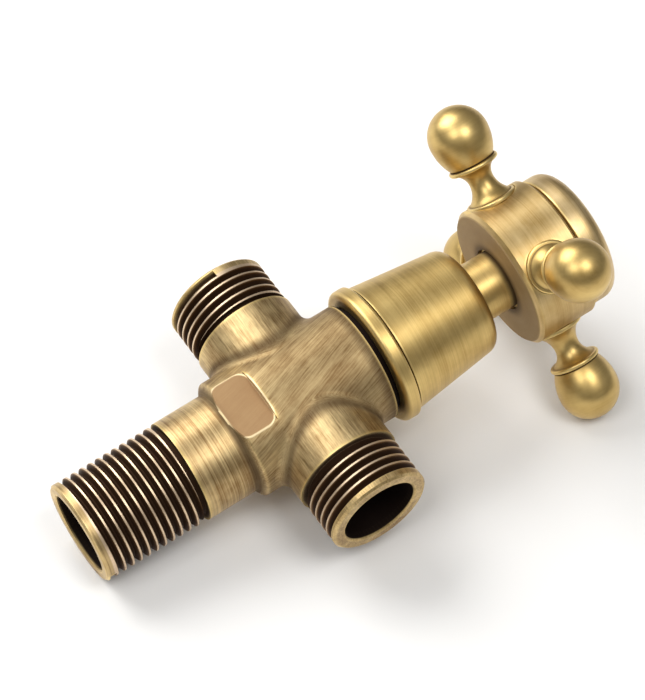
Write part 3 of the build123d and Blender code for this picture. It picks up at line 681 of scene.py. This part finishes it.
    colour = coated(
        tree,
        colour,
        (
            (threads, 1.0, thread_colour),
            # brown film in the corners, with painted shade beside the cover, on the barrel, round the branch roots
            # and behind the shoulder
            (film_and_shade, BODY_FILM_AND_SHADE, colours.patina_and_shade),
            # the outer edges: rubbed wear and a painted highlight
            (wear_and_highlight, off_threads, colours.brass),
            (on_height, band(tree, from_outline, *FLAT_RIM), linear(RIM_TONE)),
            (dull, 1.0, colours.flat_brass),
            # painted shade: near black in the bores and in the gap behind the cover's bead
            (black, 1.0, colours.valley_black_and_shade),
        ),
    )
    dulling_and_shade = film_and_shade
    for where in (black, dull):
        dulling_and_shade = add(tree, "ShaderNodeMath", {0: dulling_and_shade, 1: where}, operation="MAXIMUM").outputs[0]
    finish_metal(tree, shader, colour, patterns[0], dulling_and_shade, *BODY_FINISH[1:])
    return material


def aged_turned_brass():
    """Lathe-turned brass, chemically aged and rubbed back.

    The eye gets fine rings round the axis, a warm gold with browner bands, outer edges rubbed bright with a
    painted highlight, a brown film in the corners, and painted shade on the sleeve's end at the hub.
    film in the corners.
    """
    colours = bpy.context.scene.valve_colours
    return turned_finish("aged_turned_brass", colours.brass, TURNED_FINISH)


def aged_cap_brass():
    """Turned brass of the index cap, rubbed back further by hands.

    The eye gets a warm paler tan than on the rest of the handle, with fine rings round its face.
    """
    colours = bpy.context.scene.valve_colours
    return turned_finish("aged_cap_brass", colours.worn_cap, CAP_FINISH)


def aged_polished_brass():
    """Brass turned and polished before ageing, as on the ball arms.

    The eye gets a smooth deep gold with soft broad highlights, faint rings and a dark line in each corner.
    """
    colours = bpy.context.scene.valve_colours
    return turned_finish("aged_polished_brass", colours.brass, POLISHED_FINISH)


def turned_finish(name, rubbed, finish):
    """A finish that follows a turned piece's own grain and edge attributes."""
    colours = bpy.context.scene.valve_colours
    material, tree, shader = new_material(name)
    grain = add(tree, "ShaderNodeAttribute", attribute_name="grain").outputs["Vector"]
    edge = add(tree, "ShaderNodeAttribute", attribute_name="edge").outputs["Fac"]
    place = valve_place(tree)
    fine, wide = (
        add(tree, "ShaderNodeMapping", {"Vector": grain, "Scale": waves}).outputs[0]
        for waves in (TURNED_WAVES, TURNED_BANDS)
    )
    patterns = ageing(tree, place, fine, wide, 1.0)
    colour = aged_tone(tree, patterns, finish[0], colours.aged_brass, rubbed)
    film_and_shade, wear_and_highlight = (
        add(
            tree, "ShaderNodeMapRange", {"Value": edge, "From Min": begins, "From Max": full, "To Max": most}
        ).outputs[0]
        for begins, full, most in ((*FILM_TURN, 1.0), (*WEAR_AND_HIGHLIGHT_TURN, MOST_WEAR_AND_HIGHLIGHT))
    )
    # Painted shade darkens the sleeve's end where it goes into the hub.
    along = add(tree, "ShaderNodeSeparateXYZ", {0: place}).outputs[0]
    beside_hub = band(tree, along, *BESIDE_HUB)
    on_sleeve = band(tree, radius_about(tree, place, (0, 1, 1)), *SLEEVE)
    painted_sleeve_shade = add(tree, "ShaderNodeMath", {0: beside_hub, 1: on_sleeve}, operation="MULTIPLY").outputs[0]
    film_and_shade = add(tree, "ShaderNodeMath", {0: film_and_shade, 1: painted_sleeve_shade}, operation="MAXIMUM").outputs[0]
    # Rubbed outer edges with a painted highlight, then the brown film in the corners with the painted shade on the
    # sleeve's end.
    colour = coated(tree, colour, ((wear_and_highlight, 1.0, colours.brass), (film_and_shade, TURNED_FILM_AND_SHADE, colours.patina_and_shade)))
    finish_metal(tree, shader, colour, patterns[0], film_and_shade, *finish[1:])
    return material


def aged_hub_brass():
    """The hub's turned brass: rings round the stem, a chamfer rubbed bright with a painted highlight, a dull brown
    underside and a painted shadow round the sleeve.
    """
    colours = bpy.context.scene.valve_colours
    material, tree, shader = new_material("aged_hub_brass")
    place = valve_place(tree)
    along = add(tree, "ShaderNodeSeparateXYZ", {0: place}).outputs[0]
    from_stem = radius_about(tree, place, (0, 1, 1))
    film_and_shade, wear_and_highlight = corners_and_edges(tree)
    outward = add(tree, "ShaderNodeCombineXYZ", {0: from_stem}).outputs[0]
    ringed = add(tree, "ShaderNodeVectorMath", {0: place, 1: outward}, operation="ADD").outputs[0]
    grain = add(tree, "ShaderNodeMapping", {"Vector": ringed, "Scale": HUB_WAVES}).outputs[0]
    patterns = ageing(tree, place, grain, grain, HUB_BANDS)
    colour = aged_tone(tree, patterns, HUB_FINISH[0], colours.aged_brass, colours.rubbed_body)
    under = band(tree, along, *HUB_UNDERSIDE)
    dull = add(tree, "ShaderNodeMath", {0: under, 1: UNDERSIDE_DULL}, operation="MULTIPLY").outputs[0]
    # A painted shadow darkens the underside round the sleeve.
    round_sleeve = band(tree, from_stem, *ROUND_SLEEVE)
    colour = coated(
        tree,
        colour,
        (
            (film_and_shade, HUB_FILM, colours.patina_and_shade),
            # the chamfer and outer edges: rubbed wear and a painted highlight
            (wear_and_highlight, 1.0, colours.brass),
            (dull, 1.0, linear(UNDERSIDE_TONE)),
            # painted shadow round the sleeve on the underside
            (round_sleeve, dull, colours.patina_and_shade),
        ),
    )
    dulling_and_shade = add(tree, "ShaderNodeMath", {0: film_and_shade, 1: dull}, operation="MAXIMUM").outputs[0]
    finish_metal(tree, shader, colour, patterns[0], dulling_and_shade, *HUB_FINISH[1:])
    return material


# ---- The inner pieces' finishes ----
INNER_NOISE = (3.0, 0.6)


def inner_finish(name, dark, light, rough, metallic, stretch, depth):
    """A finish with one grain: its two colours, roughness range, metallic share, grain and relief depth.

    The grain is noise in the valve's own frame, with so many waves to a millimetre along the stem and across.
    """
    material, tree, shader = new_material(name)
    place = valve_place(tree)
    grain = add(tree, "ShaderNodeMapping", {"Vector": place, "Scale": stretch}).outputs[0]
    waves = {"Vector": grain, "Scale": 1.0, "Detail": INNER_NOISE[0], "Roughness": INNER_NOISE[1]}
    noise = add(tree, "ShaderNodeTexNoise", waves).outputs["Fac"]
    stops = [(NOISE_LOW, linear(dark)), (NOISE_HIGH, linear(light))]
    colour = add(tree, "ShaderNodeValToRGB", {0: noise}, stops=stops).outputs[0]
    ends = {**NOISE_RANGE, "To Min": rough[0], "To Max": rough[1]}
    roughness = add(tree, "ShaderNodeMapRange", {"Value": noise, **ends}).outputs[0]
    relief = add(tree, "ShaderNodeBump", {"Distance": depth * MM, "Height": noise}).outputs[0]
    shader.inputs["Metallic"].default_value = metallic
    tree.links.new(colour, shader.inputs["Base Color"])
    tree.links.new(roughness, shader.inputs["Roughness"])
    tree.links.new(relief, shader.inputs["Normal"])
    return material


INNER_FINISHES = (
    # Free-cutting brass straight from the lathe: bright gold with fine rings.
    (
        ("cartridge_housing", "spindle"),
        ("turned_bright_brass", "C9A357", "E9CC86", (0.2, 0.32), 1.0, (4.0, 0.1, 0.1), 0.006),
    ),
    # Moulded nitrile rubber: matt black with a faint moulding bloom.
    (
        ("seat_seal", "spindle_o_ring_lower", "spindle_o_ring_upper", "cap_o_ring"),
        ("moulded_nitrile_rubber", "151516", "2A2A2C", (0.5, 0.7), 0.0, (1.5, 1.5, 1.5), 0.01),
    ),
    # Vulcanised red fibre, punched from sheet: dull brick red with short fibres.
    (("body_washer",), ("punched_red_fibre", "71281C", "9C4030", (0.7, 0.9), 0.0, (3.0, 0.8, 0.8), 0.02)),
    # Alumina, lapped to a mirror: clean white with a wet gloss.
    (
        ("fixed_ceramic_disc", "moving_ceramic_disc"),
        ("lapped_alumina", "E6E3DC", "F7F5F0", (0.08, 0.16), 0.0, (0.8, 0.8, 0.8), 0.001),
    ),
    # Skived PTFE: waxy white with faint knife lines.
    (("thrust_washer",), ("skived_ptfe", "E4E4E0", "F6F6F3", (0.38, 0.5), 0.0, (2.5, 0.3, 0.3), 0.004)),
    # Moulded nylon: ivory with a soft grain.
    (("spline_bush",), ("moulded_nylon", "DDD7C6", "F0ECDF", (0.42, 0.58), 0.0, (0.6, 1.2, 1.2), 0.006)),
    # Zinc-plated spring steel: cool grey with drawn lines.
    (
        ("retaining_clip", "screw_lock_washer", "handle_screw"),
        ("plated_spring_steel", "8F9092", "C6C7C8", (0.25, 0.4), 1.0, (3.0, 0.3, 0.3), 0.005),
    ),
)


def dress(node, material):
    """Gives a CAD node its finish."""
    for material_slot in frame["nodes"][node].material_slots:
        material_slot.material = material


# ---- Turned pieces ----
ARC_POINTS = 12
COVER_AROUND = 192
SMALL_AROUND = 128
ARM_AROUND = 96


def cover_corners(sizes):
    """The bonnet cover's section: a bead with a groove behind it, and a thin cup with a round shoulder."""
    low, high, bead = turned_size("bonnet_cover")
    base = bead - sizes.bead_step
    tip = base - sizes.cover_taper
    bead_end = low + sizes.bead_length
    wall_start = bead_end + sizes.groove_width
    valley = base - sizes.groove_depth
    hole = turned_size("handle_sleeve")[2] + sizes.sleeve_gap
    roof = high - sizes.cover_wall
    seat_end = low + sizes.seat_length
    inner_round = sizes.cover_round - sizes.cover_wall
    small = sizes.small_round
    return [
        (low, sizes.seat_radius, 0),
        (low, bead, sizes.bead_round),
        (bead_end, bead, sizes.bead_round),
        (bead_end, valley, small),
        (wall_start, valley, small),
        (wall_start, base, small),
        (high, tip, sizes.cover_round),
        (high, hole, small),
        (roof, hole, small),
        (roof, tip - sizes.cover_wall, inner_round),
        (seat_end, base - sizes.cover_wall, small),
        (seat_end, sizes.seat_radius, small),
        (low, sizes.seat_radius, 0),
    ]


def sleeve_corners(sizes):
    """The stem sleeve's section: a plain tube with broken edges."""
    low, high, outer = turned_size("handle_sleeve")
    bore = outer - sizes.sleeve_wall
    small = sizes.small_round
    return [
        (low, bore, 0),
        (low, outer, small),
        (high, outer, small),
        (high, bore, small),
        (low, bore, 0),
    ]


def cap_corners(sizes):
    """The cap's outline: a hollow plug with a groove for its ring, a thin neck, a round rim and a dome.

    At radius r the dome lies dome (r / rim)^2 behind its crown, where rim is the radius at which it starts.
    """
    low, crown, outer = turned_size("index_cap")
    plug, groove = sizes.cap_plug, sizes.cap_plug - sizes.ring_depth
    hollow = plug - sizes.cap_wall
    roof = crown - sizes.cap_dome - sizes.cap_roof
    hub_top = turned_size("handle_hub")[1]
    ring_start, ring_end, _ = turned_size("cap_o_ring")
    ring_low = (ring_start + ring_end - sizes.ring_width) / 2
    ring_high = ring_low + sizes.ring_width
    rim_start = hub_top + sizes.cap_gap
    neck = outer - sizes.cap_neck
    rim = outer - sizes.cap_round
    slope = 2 * sizes.cap_dome / rim
    dome_radius = np.linspace(rim, 0, ARC_POINTS)
    dome = [(crown - sizes.cap_dome * (r / rim) ** 2, r, 0) for r in dome_radius]
    small = sizes.small_round
    return [
        (roof, 0, 0),
        (roof, hollow, small),
        (low, hollow, small),
        (low, plug, small),
        (ring_low, plug, small),
        (ring_low, groove, small),
        (ring_high, groove, small),
        (ring_high, plug, small),
        (hub_top, plug, small),
        (hub_top, neck, small),
        (rim_start, neck, small),
        (rim_start, outer, sizes.cap_edge_round),
        (crown - sizes.cap_dome - slope * sizes.cap_round, outer, sizes.cap_round),
        *dome,
    ]


def arm_corners(sizes, tip):
    """A handle arm's outline, from its tenon to the end of its ball, with distances from the stem axis.

    The ball is half an ellipse behind its middle, r = ball cos u at s = middle - back sin u, and half a
    sphere in front of it. The waist between foot and collar is two circle arcs that meet parallel to the
    arm's axis.
    """
    middle = tip - sizes.ball_radius
    collar_end = tip - sizes.ball_length
    collar_start = collar_end - sizes.collar_thickness
    waist = collar_start - sizes.waist_to_collar
    foot_top = waist - sizes.waist_to_foot
    foot_start = foot_top - sizes.foot_thickness
    tenon_end = foot_start - sizes.tenon_length
    reach = (middle - collar_end) / sizes.ball_back
    back = np.linspace(math.asin(reach), 0, ARC_POINTS)[:, None]
    front = np.linspace(0, math.pi / 2, ARC_POINTS)[1:, None]
    ball = sizes.ball_radius
    behind = np.hstack((middle - sizes.ball_back * np.sin(back), ball * np.cos(back), 0 * back))
    ahead = np.hstack((middle + ball * np.sin(front), ball * np.cos(front), 0 * front))
    ahead[-1, 1] = 0
    lip = sizes.arm_lip
    small = sizes.small_round
    return [
        (tenon_end, 0, 0),
        (tenon_end, sizes.tenon_radius, small),
        (foot_start, sizes.tenon_radius, 0),
        (foot_start, sizes.foot_radius, small),
        (foot_top, sizes.foot_radius, sizes.collar_round),
        *cove((foot_top, sizes.foot_radius - lip), (waist, sizes.waist_radius))[::-1],
        *cove((collar_start, sizes.collar_radius - lip), (waist, sizes.waist_radius))[1:],
        (collar_start, sizes.collar_radius, sizes.collar_round),
        (collar_end, sizes.collar_radius, sizes.collar_round),
        *behind,
        *ahead,
    ]


def cove(end, waist):
    """Rows of a circle arc from the waist, where it runs parallel to the axis, out to an end.

    With d along the axis and h across it between the two, the arc's radius is (d^2 + h^2) / 2h, and at
    angle u it lies radius sin u along and radius (1 - cos u) across from the waist.
    """
    along, across = end[0] - waist[0], end[1] - waist[1]
    radius = (along**2 + across**2) / (2 * across)
    angle = np.linspace(0, math.asin(abs(along) / radius), ARC_POINTS)[:, None]
    run = math.copysign(radius, along)
    rise = waist[1] + radius * (1 - np.cos(angle))
    return np.hstack((waist[0] + run * np.sin(angle), rise, 0 * angle))


def arm_place(node):
    """The move from an arm's own axis to the row frame, and the distance of its tip from the stem axis."""
    points = cad_points(node)
    reach = np.hypot(points[:, 1], points[:, 2])
    tip = points[reach.argmax()]
    outward = Vector((0, tip[1], tip[2])).normalized()
    stem = Vector((1, 0, 0))
    turn = Matrix((outward, stem, outward.cross(stem))).transposed().to_4x4()
    return VALVE @ Matrix.Translation((tip[0], 0, 0)) @ turn, float(reach.max())


# ---- Operators ----
class VALVE_OT_body(bpy.types.Operator):
    """Give the cast body its aged, hand-rubbed finish"""

    bl_idname = "valve.body"
    bl_label = "Finish the body"

    def execute(self, context):
        dress("valve_body", aged_cast_brass())
        return {"FINISHED"}


class VALVE_OT_cover(bpy.types.Operator):
    """Turn the bonnet cover and the stem sleeve"""

    bl_idname = "valve.cover"
    bl_label = "Turn the cover and sleeve"

    def execute(self, context):
        sizes = context.scene.valve_sizes
        finish = aged_turned_brass()
        for node, corners, around, body in (
            ("bonnet_cover", cover_corners(sizes), COVER_AROUND, "body"),
            ("handle_sleeve", sleeve_corners(sizes), SMALL_AROUND, "handle"),
        ):
            turned_piece(node, corners, VALVE, around, body, finish)
        return {"FINISHED"}


class VALVE_OT_handle(bpy.types.Operator):
    """Finish the hub, and turn the index cap and the four ball arms"""

    bl_idname = "valve.handle"
    bl_label = "Make the handle"

    def execute(self, context):
        sizes = context.scene.valve_sizes
        dress("handle_hub", aged_hub_brass())
        cap, finish = cap_corners(sizes), aged_cap_brass()
        turned_piece("index_cap", cap, VALVE, COVER_AROUND, "handle", finish)
        finish = aged_polished_brass()
        for number in range(1, 5):
            node = f"handle_arm_{number}"
            place, tip = arm_place(node)
            arm = arm_corners(sizes, tip)
            turned_piece(node, arm, place, ARM_AROUND, "handle", finish)
        return {"FINISHED"}


class VALVE_OT_inner(bpy.types.Operator):
    """Finish the cartridge, the seals and the fastenings inside"""

    bl_idname = "valve.inner"
    bl_label = "Finish the inner pieces"

    def execute(self, context):
        for nodes, row in INNER_FINISHES:
            finish = inner_finish(*row)
            for node in nodes:
                dress(node, finish)
        return {"FINISHED"}


class VALVE_OT_stage(bpy.types.Operator):
    """Lay the floor, and set the lights, the surroundings and the camera"""

    bl_idname = "valve.stage"
    bl_label = "Set the stage"

    def execute(self, context):
        scene = context.scene
        scene.view_settings.view_transform = "Standard"
        lay_floor()
        set_world(scene)
        for name, direction, distance, width, height, watts in SOFTBOXES:
            add_softbox(name, direction, distance, width, height, watts)
        set_camera(scene)
        return {"FINISHED"}


# ---- Stage ----
FLOOR_HALF = 4.0
TARGET = Vector((-0.0004, 0.0038, 0.0243))
CAMERA_AZIMUTH = math.radians(34.47)
CAMERA_ELEVATION = math.radians(51.08)
CAMERA_ROLL = math.radians(1.97)
CAMERA_DISTANCE = 0.65
CAMERA_LENS = 173.4
# The surroundings' greys at the horizon and at a direction whose upward part is OVERHEAD_UP.
HORIZON = 0.12
OVERHEAD = 0.36
OVERHEAD_UP = 0.9
# The board's mottling: waves to a metre, detail and its darkest share of the colour.
MOTTLE_WAVES = 30.0
MOTTLE_DETAIL = 2.0
MOTTLE_DARK = 0.985
BOARD_ROUGHNESS = 0.6
BOARD_SPECULAR = 0.25
# Softboxes: name, direction from the valve, distance, width and height in metres, and power in watts.
SOFTBOXES = (
    ("key", (-0.25, 0.71, 0.72), 0.95, 0.7, 0.7, 8.5),
    ("overhead", (-0.6, -0.2, 0.9), 1.1, 0.5, 0.5, 3.2),
    ("front", (0.1, -0.46, 0.88), 1.1, 0.45, 0.45, 4.2),
)


def lay_floor():
    """A flat square of pale matt board under the valve."""
    mesh = bpy.data.meshes.new("floor")
    corners = [(x * FLOOR_HALF, y * FLOOR_HALF, 0) for x, y in ((-1, -1), (1, -1), (1, 1), (-1, 1))]
    mesh.from_pydata(corners, [], [(0, 1, 2, 3)])
    floor = bpy.data.objects.new("floor", mesh)
    bpy.context.scene.collection.objects.link(floor)
    mesh.materials.append(pale_board())


def pale_board():
    """Pale matt board: a nearly white surface with a very faint mottling a few centimetres across."""
    colours = bpy.context.scene.valve_colours
    material, tree, shader = new_material("pale_board")
    place = add(tree, "ShaderNodeTexCoord").outputs["Object"]
    waves = {"Vector": place, "Scale": MOTTLE_WAVES, "Detail": MOTTLE_DETAIL}
    mottle = add(tree, "ShaderNodeTexNoise", waves).outputs["Fac"]
    shade = add(tree, "ShaderNodeMapRange", {"Value": mottle, "To Min": MOTTLE_DARK}).outputs[0]
    colour = add(
        tree, "ShaderNodeVectorMath", {0: tuple(colours.floor), "Scale": shade}, operation="SCALE"
    ).outputs[0]
    tree.links.new(colour, shader.inputs["Base Color"])
    shader.inputs["Roughness"].default_value = BOARD_ROUGHNESS
    shader.inputs["Specular IOR Level"].default_value = BOARD_SPECULAR
    return material


def set_world(scene):
    """Plain studio surroundings: light overhead, and darker towards the horizon."""
    world = bpy.data.worlds.new("studio")
    scene.world = world
    world.use_nodes = True
    tree = world.node_tree
    direction = add(tree, "ShaderNodeTexCoord").outputs["Generated"]
    up = add(tree, "ShaderNodeSeparateXYZ", {0: direction}).outputs[2]
    stops = [(0.0, grey(HORIZON)), (OVERHEAD_UP, grey(OVERHEAD))]
    shade = add(tree, "ShaderNodeValToRGB", {0: up}, stops=stops).outputs[0]
    tree.links.new(shade, tree.nodes["Background"].inputs["Color"])
    tree.nodes["Background"].inputs["Strength"].default_value = 1.0


def add_softbox(name, direction, distance, width, height, watts):
    """A rectangular area light that faces the valve."""
    light = bpy.data.lights.new(name, "AREA")
    light.shape = "RECTANGLE"
    light.size = width
    light.size_y = height
    light.energy = watts
    toward = Vector(direction).normalized()
    box = bpy.data.objects.new(name, light)
    turn = toward.to_track_quat("Z", "Y").to_matrix().to_4x4()
    box.matrix_world = Matrix.Translation(TARGET + toward * distance) @ turn
    bpy.context.scene.collection.objects.link(box)


def set_camera(scene):
    """A long lens that looks down on the valve."""
    level = math.cos(CAMERA_ELEVATION)
    sideways, back = -math.sin(CAMERA_AZIMUTH) * level, -math.cos(CAMERA_AZIMUTH) * level
    toward = Vector((sideways, back, math.sin(CAMERA_ELEVATION)))
    turn = toward.to_track_quat("Z", "Y").to_matrix().to_4x4()
    lens = bpy.data.cameras.new("camera")
    lens.lens = CAMERA_LENS
    camera = bpy.data.objects.new("camera", lens)
    roll = Matrix.Rotation(CAMERA_ROLL, 4, "Z")
    camera.matrix_world = Matrix.Translation(TARGET + toward * CAMERA_DISTANCE) @ turn @ roll
    scene.collection.objects.link(camera)
    scene.camera = camera


# ---- Panel and registration ----
STEPS = (VALVE_OT_body, VALVE_OT_cover, VALVE_OT_handle, VALVE_OT_inner, VALVE_OT_stage)


class VALVE_PT_panel(bpy.types.Panel):
    """The valve's pieces, sizes and colours"""

    bl_label = "Angle valve"
    bl_idname = "VALVE_PT_panel"
    bl_space_type = "VIEW_3D"
    bl_region_type = "UI"
    bl_category = "Valve"

    def draw(self, context):
        for step in STEPS:
            self.layout.operator(step.bl_idname)
        for group in (context.scene.valve_sizes, context.scene.valve_colours):
            for field in group.__annotations__:
                self.layout.prop(group, field)


CLASSES = (ValveSizes, ValveColours, *STEPS, VALVE_PT_panel)


def register():
    for each in CLASSES:
        bpy.utils.register_class(each)
    bpy.types.Scene.valve_sizes = bpy.props.PointerProperty(type=ValveSizes)
    bpy.types.Scene.valve_colours = bpy.props.PointerProperty(type=ValveColours)


def unregister():
    del bpy.types.Scene.valve_colours
    del bpy.types.Scene.valve_sizes
    for each in reversed(CLASSES):
        bpy.utils.unregister_class(each)


def main():
    register()
    bpy.ops.valve.body()
    bpy.ops.valve.cover()
    bpy.ops.valve.handle()
    bpy.ops.valve.inner()
    bpy.ops.valve.stage()


if __name__ == "__main__":
    main()
